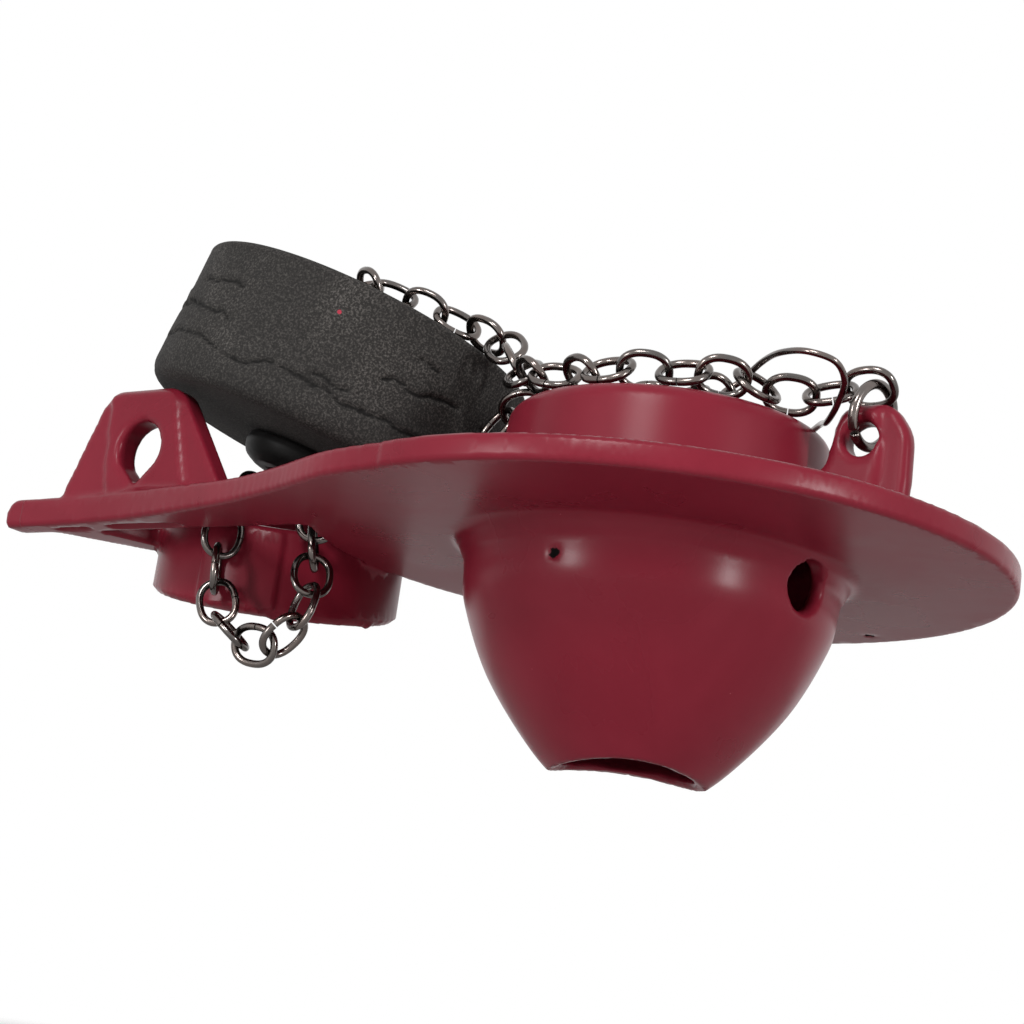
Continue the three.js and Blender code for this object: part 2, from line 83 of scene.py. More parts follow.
def sight_line(across, down):
    """The direction from the camera through a point of the picture."""
    middle = PICTURE_PIXELS / 2
    look = Vector(((across - middle) / FOCAL_PIXELS, (middle - down) / FOCAL_PIXELS, -1))
    return (VIEW_AXES @ look).normalized()


# %% [markdown]
# Several finishes share the same effects. The rubber, the foam and the hub all have a fine grain,
# everything has soft patches where it is a little lighter or shinier, and a few spots are marked.
# Each effect is one shader group with named inputs, built once and used with its own values.

# %% A helper for shader groups
def shader_group(name, inputs, outputs):
    """A group that starts from a place and some values, with what it is given and what it gives."""
    group = bpy.data.node_groups.new(name, "ShaderNodeTree")
    for label, value in {"Vector": (0, 0, 0), **inputs}.items():
        kind = "NodeSocketVector" if isinstance(value, tuple) else "NodeSocketFloat"
        group.interface.new_socket(label, in_out="INPUT", socket_type=kind).default_value = value
    for label in outputs:
        group.interface.new_socket(label, in_out="OUTPUT", socket_type="NodeSocketFloat")
    given = group.nodes.new("NodeGroupInput").outputs
    return group, given, group.nodes.new("NodeGroupOutput").inputs


def add(tree, kind, values=None, **settings):
    """A new node with its properties. Its inputs take plain values or other nodes' outputs."""
    node = tree.nodes.new(kind)
    for name, value in settings.items():
        setattr(node, name, value)
    for name, value in (values or {}).items():
        if isinstance(value, bpy.types.NodeSocket):
            tree.links.new(value, node.inputs[name])
        else:
            node.inputs[name].default_value = value
    return node


def sum_up(tree, operation, *values):
    """One Math node, its inputs numbers or sockets."""
    return add(tree, "ShaderNodeMath", dict(enumerate(values)), operation=operation).outputs[0]


def remap(tree, value, low, high, to_low=0.0, to_high=1.0):
    """A value that runs smoothly from one range to another."""
    node = add(tree, "ShaderNodeMapRange", interpolation_type="SMOOTHSTEP", values={
        "Value": value, "From Min": low, "From Max": high, "To Min": to_low, "To Max": to_high,
    })
    return node.outputs["Result"]


# %% [markdown]
# Grain: the tiny bumps that a mould leaves on rubber, and the cut cells on the face of foam. A
# noise texture gives them, its scale worked out from the size of one grain in metres.

# %% Fine grain
grain, given, result = shader_group(
    "fine_grain", {"Grain Size": 0.0003, "Roughness": 0.5}, ["Height", "Fleck"],
)
bumps = add(grain, "ShaderNodeTexNoise", {
    "Vector": given["Vector"], "Scale": sum_up(grain, "DIVIDE", 1.0, given["Grain Size"]),
    "Detail": 3.0, "Roughness": given["Roughness"],
})
grain.links.new(bumps.outputs["Fac"], result["Height"])
grain.links.new(remap(grain, bumps.outputs["Fac"], 0.42, 0.72), result["Fleck"])

# %% [markdown]
# Patches: no real surface has one even tone. A slow noise in two sizes gives a factor that moves
# gently between nought and one, which each finish turns into its own change of colour and gloss.

# %% Soft patches
patches, given, result = shader_group("soft_patches", {"Patch Size": 0.01}, ["Factor"])
slow = add(patches, "ShaderNodeTexNoise", {
    "Vector": given["Vector"], "Scale": sum_up(patches, "DIVIDE", 1.0, given["Patch Size"]),
    "Detail": 4.0, "Roughness": 0.55, "Distortion": 0.4,
})
patches.links.new(remap(patches, slow.outputs["Fac"], 0.3, 0.7), result["Factor"])

# %% [markdown]
# Marks: a nick, a hole or a speck sits at one point. The distance to that point, shaken a little
# by noise so that the edge is ragged, gives a mask that is one inside the mark and nought outside.

# %% A mark at a point
mark, given, result = shader_group(
    "mark_at_point", {"Centre": (0, 0, 0), "Radius": 0.0005}, ["Mask"],
)
shake = add(mark, "ShaderNodeTexNoise", {
    "Vector": given["Vector"], "Scale": 1400.0, "Detail": 2.0,
})
places = {0: given["Vector"], 1: given["Centre"]}
away = add(mark, "ShaderNodeVectorMath", places, operation="DISTANCE").outputs["Value"]
reach = sum_up(mark, "DIVIDE", away, given["Radius"])
ragged = sum_up(mark, "ADD", reach, sum_up(mark, "MULTIPLY", shake.outputs["Fac"], 1.2))
mark.links.new(remap(mark, ragged, 1.7, 1.45), result["Mask"])
print("shader groups:", [g.name for g in (grain, patches, mark)])

# %% [markdown]
# One helper starts a material: a Principled shader, whose plain values are set on its own sockets,
# and the Object coordinates, which stay with the piece. Another links what the finish comes to.

# %% Start a material
def finish(name, **values):
    """A material, its tree, its shader and the Object coordinates."""
    material = bpy.data.materials.new(name)
    material.use_nodes = True
    tree = material.node_tree
    shader = tree.nodes["Principled BSDF"]
    for label, value in values.items():
        shader.inputs[label.replace("_", " ")].default_value = value
    where = tree.nodes.new("ShaderNodeTexCoord").outputs["Object"]
    return material, tree, shader, where


def use(tree, group, **values):
    """A group in a material, its inputs numbers or sockets."""
    inputs = {label.replace("_", " "): value for label, value in values.items()}
    return add(tree, "ShaderNodeGroup", inputs, node_tree=group)


def blend(tree, factor, first, second):
    """A colour between two, each a tuple or a socket."""
    colours = (c if isinstance(c, bpy.types.NodeSocket) else (*c, 1) for c in (first, second))
    values = {"Factor": factor, **dict(zip((6, 7), colours))}
    return add(tree, "ShaderNodeMix", values, data_type="RGBA").outputs[2]


def bump(tree, height, depth, under=None):
    """A bump of the given depth in metres, on top of another one where there is one under it."""
    values = {"Height": height, "Distance": depth, "Strength": 1.0}
    if under:
        values["Normal"] = under
    return add(tree, "ShaderNodeBump", values).outputs["Normal"]


def connect(tree, shader, colour, roughness, normal):
    tree.links.new(colour, shader.inputs["Base Color"])
    tree.links.new(roughness, shader.inputs["Roughness"])
    tree.links.new(normal, shader.inputs["Normal"])


# %% [markdown]
# The rubber is a deep wine red. It is smooth from the mould, so its lights are soft but clear, and
# it shows a faint grain, a few pale specks of dust, two nicks and a fine mould line across the end
# of each arm. Each nick is a real dent whose near-black colour is painted shade for the depth of
# the cut. The nicks' places come from the picture and are found on the shape later on.

# %% Rubber
MOULD_LINE = -105.2
rubber, tree, shader, where = finish("wine_red_rubber", Specular_IOR_Level=0.14, IOR=1.5)
tone = use(tree, patches, Vector=where, Patch_Size=0.022).outputs["Factor"]
colour = blend(tree, tone, (0.148, 0.0090, 0.0190), (0.170, 0.0118, 0.0235))
dust = use(tree, grain, Vector=where, Grain_Size=0.0016, Roughness=0.8).outputs["Height"]
colour = blend(tree, remap(tree, dust, 0.735, 0.78), colour, (0.34, 0.08, 0.1))
nick_shade_marks = []
dullness = remap(tree, tone, 0.0, 1.0, 0.27, 0.33)
for radius in (0.00085, 0.0008):
    spot = use(tree, mark, Vector=where, Radius=radius)
    nick_shade_marks.append(spot)
    # painted shade: each nick is coloured near black, standing in for the shade inside the cut
    colour = blend(tree, spot.outputs["Mask"], colour, (0.002, 0.0015, 0.0015))
    dullness = sum_up(tree, "MAXIMUM", dullness, spot.outputs["Mask"])
pores = use(tree, grain, Vector=where, Grain_Size=0.00022).outputs["Height"]
skin = bump(tree, pores, 0.000006)
along_arm = add(tree, "ShaderNodeSeparateXYZ", {0: where}).outputs["X"]
mould_line = sum_up(tree, "ABSOLUTE", sum_up(tree, "SUBTRACT", along_arm, MOULD_LINE * MM))
skin = bump(tree, remap(tree, mould_line, 0.00022, 0.00005), 0.00012, skin)
connect(tree, shader, colour, dullness, skin)

# %% [markdown]
# The float is closed-cell foam, nearly black. Up close it is a crowd of tiny cut cells, some of
# which catch the light, so the colour takes pale flecks, painted glints, from the same grain that
# makes the bumps. Some patches are worn smoother and have fewer flecks. The floor of a wrinkle gets
# painted shade: it is darker, by the groove depth that the mesh's own attribute tells. One red
# crumb of rubber is stuck to it.

# %% Foam
foam, tree, shader, where = finish("charcoal_foam", Specular_IOR_Level=0.25)
cells = use(tree, grain, Vector=where, Grain_Size=0.00034, Roughness=0.62)
worn = use(tree, patches, Vector=where, Patch_Size=0.02).outputs["Factor"]
# painted glints: pale flecks where cut cells catch the light, fewer on worn patches
painted_glints = sum_up(tree, "MULTIPLY", cells.outputs["Fleck"], remap(tree, worn, 0.0, 1.0, 0.45, 1.0))
colour = blend(tree, worn, (0.0145, 0.0134, 0.0128), (0.019, 0.0175, 0.0164))
colour = blend(tree, painted_glints, colour, (0.085, 0.078, 0.072))
# painted shade: the floor of each wrinkle is darkened by its groove depth
wrinkle_depth_for_shade = add(tree, "ShaderNodeAttribute", attribute_name="wrinkle_depth_for_shade").outputs["Fac"]
colour = blend(tree, remap(tree, wrinkle_depth_for_shade, 0.25, 0.9), colour, (0.004, 0.0036, 0.0034))
crumb = use(tree, mark, Vector=where, Radius=0.00036)
colour = blend(tree, crumb.outputs["Mask"], colour, (0.32, 0.03, 0.05))
dullness = remap(tree, painted_glints, 0.0, 1.0, 0.95, 0.7)
connect(tree, shader, colour, dullness, bump(tree, cells.outputs["Height"], 0.00009))

# %% [markdown]
# The hub is a small black plastic moulding. It has a satin face, with the light orange-peel ripple
# that moulded plastic has.

# %% Black plastic
black_plastic, tree, shader, where = finish("black_hub_plastic", Specular_IOR_Level=0.12)
tone = use(tree, patches, Vector=where, Patch_Size=0.006).outputs["Factor"]
colour = blend(tree, tone, (0.004, 0.0038, 0.0038), (0.008, 0.0076, 0.0074))
dullness = remap(tree, tone, 0.0, 1.0, 0.42, 0.55)
ripple = use(tree, grain, Vector=where, Grain_Size=0.0008).outputs["Height"]
connect(tree, shader, colour, dullness, bump(tree, ripple, 0.00001))

# %% [markdown]
# Chain, hook ring and clip are steel wire with a dark nickel finish. The finish is thin and a
# little uneven, so it drifts between grey and a warm brown, and handling has dulled it in places.

# %% Dark nickel steel
def nickel(name, grey, brown, smooth, dull):
    """Steel whose colour drifts from grey to brown, and its roughness from smooth to dull."""
    material, tree, shader, where = finish(name, Metallic=1.0)
    drift = use(tree, patches, Vector=where, Patch_Size=0.006).outputs["Factor"]
    rub = use(tree, grain, Vector=where, Grain_Size=0.0012, Roughness=0.6).outputs["Height"]
    dullness = remap(tree, rub, 0.35, 0.7, smooth, dull)
    connect(tree, shader, blend(tree, drift, grey, brown), dullness, bump(tree, rub, 0.000004))
    return material


chain_steel = nickel("chain_nickel", (0.125, 0.116, 0.111), (0.168, 0.138, 0.126), 0.14, 0.24)
wire_steel = nickel("wire_nickel", (0.140, 0.130, 0.125), (0.185, 0.152, 0.140), 0.14, 0.23)
print("finishes:", [m.name for m in (rubber, foam, black_plastic, chain_steel, wire_steel)])

# %% [markdown]
# Every finished piece rides on the one body and stands for its rigid solids. One helper does this.
# Others read and set a mesh's points in millimetres, make a new piece from points and faces, and
# keep what an object's modifiers make of it.

# %% Put a piece in the scene
def place(obj, material, slot, *nodes):
    """Finishes an object and sets it in the scene in place of the named solids."""
    obj.data.materials.clear()
    obj.data.materials.append(material)
    scene.collection.objects.link(obj)
    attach(obj, "root")
    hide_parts(*nodes)
    points = points_of(obj.data)
    low, high = points.min(axis=0).round(1), points.max(axis=0).round(1)
    obj.data.calc_loop_triangles()
    print(obj.name, len(obj.data.loop_triangles), "triangles,", low, "to", high, "mm")
    return obj


def points_of(mesh):
    flat = np.empty(3 * len(mesh.vertices))
    mesh.vertices.foreach_get("co", flat)
    return flat.reshape(-1, 3) / MM


def set_points(mesh, points):
    mesh.vertices.foreach_set("co", (points * MM).ravel())
    mesh.update()


def new_piece(name, points, faces):
    mesh = bpy.data.meshes.new(name)
    mesh.from_pydata((points * MM).tolist(), [], faces)
    mesh.update()
    mesh.shade_smooth()
    return bpy.data.objects.new(name, mesh)


def modified(name, mesh, kind):
    """A helper object in the scene with one modifier, whose settings come next."""
    obj = bpy.data.objects.new(name, mesh)
    scene.collection.objects.link(obj)
    return obj, obj.modifiers.new("change", kind)


def keep_result(obj, name):
    """The mesh that the modifier makes. The helper object goes."""
    changed = obj.evaluated_get(bpy.context.evaluated_depsgraph_get())
    mesh = bpy.data.meshes.new_from_object(changed)
    mesh.name = name
    bpy.data.objects.remove(obj)
    return mesh


def faces_of(mesh):
    """A mesh's faces in a tree that finds the nearest one, or the one that a line meets."""
    return BVHTree.FromPolygons([v.co for v in mesh.vertices], [p.vertices for p in mesh.polygons])


# %% [markdown]
# The rubber body is one moulding: disc, bell, hat, arms, ears and tube ring. Its solid is right but
# faceted and sharp. It could be bevelled, rebuilt from parts or wrapped in a new even skin. A voxel
# Remesh wraps it, which rounds every edge by about half a millimetre, as rubber is, and leaves no
# seam between its parts.

# %% Wrap the body in an even skin
SKIN_STEP = 0.62
core = bmesh.new()
core.from_mesh(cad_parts["flapper_body"].data)
bmesh.ops.remove_doubles(core, verts=core.verts, dist=1e-6)
blank_mesh = bpy.data.meshes.new("body_blank")
core.to_mesh(blank_mesh)
core.free()
solid_faces = faces_of(blank_mesh)
blank, wrap = modified("body_blank", blank_mesh, "REMESH")
wrap.mode = "VOXEL"
wrap.voxel_size = SKIN_STEP * MM
body_mesh = keep_result(blank, "body_skin")
print("skin:", len(body_mesh.vertices), "points,", len(body_mesh.polygons), "faces")

# %% [markdown]
# The skin still shows the solid's flats as faint bands. Most of the body is turned or flat, so each
# point near such a surface is drawn onto the true one: bell and hat onto their profiles, the ring
# onto circles, the edge of disc and arm onto a small round, and flat faces onto their level. A
# point moves only where its normal agrees, so rounded edges and cuts stay round.

# %% True profiles of the bell and the hat
def smooth_curve(points, per_span=14):
    """A curve through points, with a straight start and end."""
    guide = np.array([points[0], *points, points[-1]], float)
    run = np.linspace(0, 1, per_span, endpoint=False)[:, None]
    spans = []
    for a, b, c, d in zip(guide, guide[1:], guide[2:], guide[3:]):
        spans.append(0.5 * (2 * b + (c - a) * run + (2 * a - 5 * b + 4 * c - d) * run**2
                            + (3 * b - a - 3 * c + d) * run**3))
    return np.vstack([*spans, guide[-1:]])


def arc(centre, radius, from_angle, to_angle, steps=10):
    """Part of a circle, from one angle to another in degrees."""
    turn = np.radians(np.linspace(from_angle, to_angle, steps))
    return np.column_stack([centre[0] + radius * np.cos(turn), centre[1] + radius * np.sin(turn)])


PLATE = 3.7
BELL_RADIUS, BELL_DEPTH = 28.0, 33.5
HAT_RADIUS, HAT_TOP_RADIUS, HAT_HEIGHT, HAT_ROUND, HAT_FOOT = 25.2, 24.3, 20.7, 2.4, 0.9
bell_side = smooth_curve([
    (BELL_RADIUS, -2.5), (BELL_RADIUS - 0.3, -5), (BELL_RADIUS * 0.957, -0.3 * BELL_DEPTH),
    (BELL_RADIUS * 0.786, -0.6 * BELL_DEPTH), (BELL_RADIUS * 0.496, -0.9 * BELL_DEPTH),
    (BELL_RADIUS * 0.24, -1.07 * BELL_DEPTH),
])
bell_side = bell_side[bell_side[:, 1] < -3.3]
bell_bead = smooth_curve([
    (30.5, 0), (29.7, -0.3), (29.1, -0.9), (28.75, -1.7), (28.35, -2.5), (28.0, -3.1), (27.9, -3.8),
])
hat_profile = np.vstack([
    arc((HAT_TOP_RADIUS - HAT_ROUND, HAT_HEIGHT - HAT_ROUND), HAT_ROUND, 90, 0),
    arc((HAT_RADIUS + HAT_FOOT, PLATE + HAT_FOOT), HAT_FOOT, 180, 270, 6),
])
print("bell profile", len(bell_side), "points, hat profile", len(hat_profile))

# %% Draw points onto a profile, a ring or a level
LOOK_AROUND, LOOK_UP_DOWN = 0.8, 0.5
FADE_OVER, TURN_OVER = 0.3, 0.18


def trust(distance, agreement, reach=0.75, least=0.72):
    """How far a point is drawn: fully when near and facing the same way."""
    near = np.clip((reach - distance) / FADE_OVER, 0, 1)
    facing = np.clip((agreement - least) / TURN_OVER, 0, 1)
    return near * facing


def nearest_on(line, here):
    """The spot of a line nearest to each point, the step that it is on and its share of that step."""
    start, step = line[:-1], line[1:] - line[:-1]
    share = ((here[:, None] - start) * step).sum(-1) / (step**2).sum(-1)
    foot = start + np.clip(share, 0, 1)[..., None] * step
    best = np.linalg.norm(here[:, None] - foot, axis=-1).argmin(axis=1)
    rows = np.arange(len(here))
    return foot[rows, best], best, share[rows, best]


def left_of(line, which):
    """The way at right angles to each named step of a line, to its left."""
    step = (line[1:] - line[:-1])[which]
    way = np.column_stack([-step[:, 1], step[:, 0]])
    return way / np.linalg.norm(way, axis=1, keepdims=True)


def onto_profile(points, normals, profile, weight, **limits):
    """Draws points onto a profile turned about Z."""
    reach = np.hypot(points[:, 0], points[:, 1])
    here = np.column_stack([reach, points[:, 2]])
    above = (here > profile.min(axis=0) - LOOK_AROUND).all(axis=1)
    which = np.flatnonzero(above & (here < profile.max(axis=0) + LOOK_AROUND).all(axis=1))
    here = here[which]
    foot, best, share = nearest_on(profile, here)
    away = left_of(profile, best)
    out = points[which, :2] / reach[which, None]
    agreement = (normals[which, :2] * out).sum(-1) * away[:, 0] + normals[which, 2] * away[:, 1]
    past_end = (share < 0) & (best == 0) | (share > 1) & (best == len(profile) - 2)
    pull = trust(np.linalg.norm(here - foot, axis=-1), agreement, **limits) * ~past_end
    target = np.column_stack([out * foot[:, :1], foot[:, 1]])
    points[which] += pull[:, None] * (target - points[which])
    weight[which] = np.maximum(weight[which], pull)


def onto_ring(points, normals, radius, sign, chosen, weight):
    """Draws chosen points onto a wall of the tube ring, sign 1 where it faces out, -1 where in."""
    out = points[:, :2] - (RING_CENTRE, 0)
    reach = np.linalg.norm(out, axis=1)
    which = np.flatnonzero(chosen & (np.abs(reach - radius) < LOOK_AROUND))
    out = out[which] / reach[which, None]
    agreement = sign * (normals[which, :2] * out).sum(-1)
    pull = trust(np.abs(reach[which] - radius), agreement)
    points[which, :2] += (pull * (radius - reach[which]))[:, None] * out
    weight[which] = np.maximum(weight[which], pull)


def onto_level(points, normals, level, sign, chosen, weight):
    """Draws chosen points onto a level face, sign 1 where it faces up and -1 where down."""
    which = np.flatnonzero(chosen & (np.abs(points[:, 2] - level) < LOOK_UP_DOWN))
    pull = trust(np.abs(points[which, 2] - level), sign * normals[which, 2])
    points[which, 2] += pull * (level - points[which, 2])
    weight[which] = np.maximum(weight[which], pull)


# %% The body's true surfaces
DISC_RADIUS, RIM_ROUND, BEAD_EDGE = 53.0, 0.7, 30.7
RING_CENTRE, RING_RADIUS, RING_WALL, RING_PAD = -73.9, 20.3, 2.6, 0.7
# The arm's thickness at the hinge and the length in which it is reached, then places along X
ARM_PLATE, RISE_LENGTH = 4.8, 32
ARM_STARTS, PLATE_RISES, HINGE_STARTS, EAR_STARTS, ARM_ENDS = -11.5, -46, -52, -62, -105
# Places across the body: the near arm's inner side, and where the far arm leaves the disc's level
ARM_INSIDE, FAR_ARM_LIFTS = -26, 20
arm_outline = smooth_curve([
    (-11, -51.6), (-24, -49.1), (-38.5, -43.3), (-52, -38.7), (-66, -35.2), (-80, -32.3),
    (-95, -30.8), (-109.3, -30.4),
])


def onto_edge(points, normals, beyond, out, thick, chosen, weight):
    """Rounds the edge of a plate. beyond is how far a point lies past the plate's outline."""
    height = points[:, 2]
    near = chosen & (np.abs(beyond + 0.5) < 1.7) & (height > -0.8) & (height < thick + 0.8)
    which = np.flatnonzero(near)
    middle = np.column_stack([
        np.minimum(beyond[which], -RIM_ROUND),
        np.clip(height[which], RIM_ROUND, thick[which] - RIM_ROUND),
    ])
    way = np.column_stack([beyond[which], height[which]]) - middle
    far = np.maximum(np.linalg.norm(way, axis=1), 1e-6)
    way /= far[:, None]
    facing_out = (normals[which, :2] * out[which]).sum(-1)
    agreement = facing_out * way[:, 0] + normals[which, 2] * way[:, 1]
    pull = trust(np.abs(far - RIM_ROUND), agreement, reach=1.2, least=0.3)
    shift = (pull * (RIM_ROUND - far))[:, None] * way
    points[which, :2] += shift[:, :1] * out[which]
    points[which, 2] += shift[:, 1]
    weight[which] = np.maximum(weight[which], pull)


def past_arm(points):
    """How far each point lies past the near arm's outline, and the way out there."""
    foot, best, _ = nearest_on(arm_outline, points[:, :2])
    out = left_of(arm_outline, best)
    return ((points[:, :2] - foot) * out).sum(-1), out


def round_rims(points, normals, reach, weight):
    """Rounds the edge of the disc and of the near arm, whose plate grows thicker to the hinge."""
    on_rim = points[:, 0] > ARM_STARTS
    out = points[:, :2] / reach[:, None]
    thick = np.full(len(points), PLATE)
    onto_edge(points, normals, reach - DISC_RADIUS, out, thick, on_rim, weight)
    along = (points[:, 0] < ARM_STARTS) & (points[:, 0] > ARM_ENDS)
    on_arm = np.flatnonzero(along & (points[:, 1] < ARM_INSIDE))
    part, part_weight = points[on_arm], weight[on_arm]
    beyond, out = past_arm(part)
    rise = np.clip((PLATE_RISES - part[:, 0]) / RISE_LENGTH, 0, 1)
    thick = PLATE + (ARM_PLATE - PLATE) * rise**2 * (3 - 2 * rise)
    below_ear = (part[:, 0] > EAR_STARTS) | (part[:, 2] < thick - 0.6)
    onto_edge(part, normals[on_arm], beyond, out, thick, below_ear, part_weight)
    points[on_arm], weight[on_arm] = part, part_weight


def true_surfaces(points, normals):
    """Draws points onto every true surface and says how far each one is held there."""
    weight = np.zeros(len(points))
    reach = np.hypot(points[:, 0], points[:, 1])
    onto_profile(points, normals, bell_side, weight)
    onto_profile(points, normals, bell_bead, weight, reach=1.2, least=0.3)
    onto_profile(points, normals, hat_profile, weight)
    round_rims(points, normals, reach, weight)
    hinge_end = points[:, 0] < HINGE_STARTS
    for past, sign in ((0, 1), (RING_PAD, 1), (-RING_WALL, -1)):
        onto_ring(points, normals, RING_RADIUS + past, sign, hinge_end, weight)
    underside = (reach > BEAD_EDGE) & (points[:, 1] < FAR_ARM_LIFTS)
    around_hat = (reach < DISC_RADIUS - 1) & (reach > HAT_RADIUS + 1.2)
    hat_top = reach < HAT_TOP_RADIUS - 2.3
    for level, sign, face in ((0, -1, underside), (PLATE, 1, around_hat), (HAT_HEIGHT, 1, hat_top)):
        onto_level(points, normals, level, sign, face, weight)
    return weight


# %% [markdown]
# The ears, arms and cuts have no such simple shape. There a point is drawn onto the nearest face of
# the solid, again only where both face the same way. What is left are the edges. They are smoothed
# towards their neighbours, which are held by now, so every edge becomes an even small round.

# %% Draw points onto the solid
SOLID_REACH = 0.7


def onto_solid(points, normals, weight):
    """Draws the points that no true surface holds onto the solid, and marks them."""
    drawn = np.zeros(len(points))
    for i in np.flatnonzero(weight < 0.5):
        spot, facing, _, _ = solid_faces.find_nearest(Vector(points[i] * MM), SOLID_REACH * MM)
        if spot and facing.dot(Vector(normals[i])) > 0.9:
            points[i] = np.array(spot) / MM
            drawn[i] = 1
    return drawn


# %% [markdown]
# Each round of smoothing has plain steps, which move only the points that nothing holds, and pairs
# of steps in and a little farther out, which even the solid's flats without shrinking them.

# %% Smooth the edges
ROUNDS, PLAIN_STEPS, STEP_PAIRS = 3, 6, 5
FIRST_STEP, PLAIN_STEP, STEP_IN, STEP_OUT = 0.4, 0.5, 0.50, 0.52
ends = np.empty(2 * len(body_mesh.edges), dtype=np.int64)
body_mesh.edges.foreach_get("vertices", ends)
ends = ends.reshape(-1, 2)
valence = np.bincount(ends.ravel(), minlength=len(body_mesh.vertices))[:, None]


def toward_neighbours(points):
    """The way from each point to the middle of its neighbours."""
    total = np.empty_like(points)
    for axis in range(3):
        total[:, axis] = (
            np.bincount(ends[:, 0], points[ends[:, 1], axis], minlength=len(points))
            + np.bincount(ends[:, 1], points[ends[:, 0], axis], minlength=len(points))
        )
    return total / valence - points


def normals_of(mesh):
    flat = np.empty(3 * len(mesh.vertices))
    mesh.vertex_normals.foreach_get("vector", flat)
    return flat.reshape(-1, 3)


skin_points = points_of(body_mesh)
for _ in range(ROUNDS):
    skin_points += FIRST_STEP * toward_neighbours(skin_points)
    set_points(body_mesh, skin_points)
    skin_normals = normals_of(body_mesh)
    held = true_surfaces(skin_points, skin_normals)
    drawn = onto_solid(skin_points, skin_normals, held)
    free = (1 - np.maximum(held, drawn))[:, None]
    for _ in range(PLAIN_STEPS):
        skin_points += PLAIN_STEP * free * toward_neighbours(skin_points)
    for _ in range(STEP_PAIRS):
        skin_points += STEP_IN * (1 - held)[:, None] * toward_neighbours(skin_points)
        skin_points -= STEP_OUT * (1 - held)[:, None] * toward_neighbours(skin_points)
    set_points(body_mesh, skin_points)
held = true_surfaces(skin_points, normals_of(body_mesh))
set_points(body_mesh, skin_points)
print("on a true surface:", round(float((held > 0.9).mean()) * 100), "% of the skin")

# %% [markdown]
# A used moulding has small faults: a nick in the bell and one under the disc, and crumbs of flash
# along the bottom edge of the ring. Each is placed by the sight line through it, which finds the
# spot on the skin. The points around a nick move in, and those around a crumb hang down. The
# nick's painted shade, its near-black colour, is centred on the same spot.

# %% Nicks and crumbs
NICK_DEPTH, CRUMB_SINK = 0.55, 0.3
# Across and down in the picture, then the radius, and how far a crumb hangs down
NICKS = ((553.4, 552.5, 1.0), (869.5, 636, 0.9))
CRUMBS = ((273, 617, 1.3, 0.5), (369, 624, 1.5, 0.6), (362, 624, 1.0, 0.35), (296, 621, 0.8, 0.25))


def find_on(mesh, across, down):
    """The spot on a mesh that shows at a point of the picture, and its normal."""
    spot, normal, _, _ = faces_of(mesh).ray_cast(VIEW_FROM, sight_line(across, down))
    return np.array(spot) / MM, np.array(normal)


def push(points, spot, direction, radius, depth):
    """Moves the points around a spot, the nearest ones most."""
    away = np.linalg.norm(points - spot, axis=1) / radius
    points += (np.clip(1 - away**2, 0, 1) ** 2 * depth)[:, None] * direction


for nick_shade_mark, (across, down, radius) in zip(nick_shade_marks, NICKS):
    spot, normal = find_on(body_mesh, across, down)
    push(skin_points, spot, normal, radius, -NICK_DEPTH)
    # centres the nick's painted shade, its near-black colour, on the dent
    nick_shade_mark.inputs["Centre"].default_value = spot * MM
    print("nick at", spot.round(1))
for across, down, radius, drop in CRUMBS:
    spot, _ = find_on(body_mesh, across, down)
    push(skin_points, spot - (0, 0, CRUMB_SINK), np.array((0, 0, -1)), radius, drop)
low, high = (np.array(corner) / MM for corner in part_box("flapper_body"))
skin_points = np.clip(skin_points, low, high)
set_points(body_mesh, skin_points)

# %% [markdown]
# The even skin has as many faces on the flat disc as on the rounded ears. A Decimate modifier joins
# faces where that changes the shape least, which is on the flats, and leaves the curves as fine.

# %% Join faces on the flats
MOST_TRIANGLES = 192000
skin, thin = modified("flapper_skin", body_mesh, "DECIMATE")
thin.ratio = MOST_TRIANGLES / (2 * len(body_mesh.polygons))
rubber_mesh = keep_result(skin, "flapper_rubber")
rubber_mesh.shade_smooth()
body = bpy.data.objects.new("flapper_rubber", rubber_mesh)
place(body, rubber, "rubber", "flapper_body")

# %% [markdown]
# The float is a thick foam disc that leans on its hub. A turned profile gives its plain shape: a
# tight round at the top edge, a wider one below, and a bore. The profile is stepped finely enough
# to carry the wrinkles that follow.

# %% Turn a profile about an axis
FLOAT_CENTRE = np.array((-62.5, -5.6, 29.1))
FLOAT_AXIS = Vector((0.28, 0.13, 0.951)).normalized()
FLOAT_TURN = np.array(Vector((0, 0, 1)).rotation_difference(FLOAT_AXIS).to_matrix())
FLOAT_RADIUS, FLOAT_HALF, FLOAT_BORE = 29.1, 12.0, 6.3
FLOAT_LOW_ROUND, FLOAT_TOP_ROUND = 3.2, 1
FLOAT_STEP, FLOAT_SIDES = 0.42, 400


def refined(profile, step):
    """The same line with points no farther apart than one step."""
    rows = [profile[0]]
    for a, b in zip(profile, profile[1:]):
        run = np.subtract(b, a)
        pieces = max(1, math.ceil(np.linalg.norm(run) / step))
        rows += [tuple(np.add(a, run * (k / pieces))) for k in range(1, pieces + 1)]
    return np.array(rows)


def bands(rows, sides, closed=True):
    """Faces between neighbouring rows of points, each row a ring with so many sides."""
    faces = []
    for i in range(rows if closed else rows - 1):
        j = (i + 1) % rows
        for k in range(sides):
            n = (k + 1) % sides
            faces.append((i * sides + k, i * sides + n, j * sides + n, j * sides + k))
    return faces


def turned(profile, segments):
    """Points and faces of a closed profile turned about Z; the last row joins the first."""
    turn = np.linspace(0, 2 * math.pi, segments, endpoint=False)
    around = np.column_stack([np.cos(turn), np.sin(turn)])
    rows = [np.column_stack([r * around, np.full(segments, z)]) for r, z in profile]
    return np.vstack(rows), bands(len(profile), segments)


def onto_float(points):
    """Takes points from the float's own axis to where it leans."""
    return np.asarray(points) @ FLOAT_TURN.T + FLOAT_CENTRE


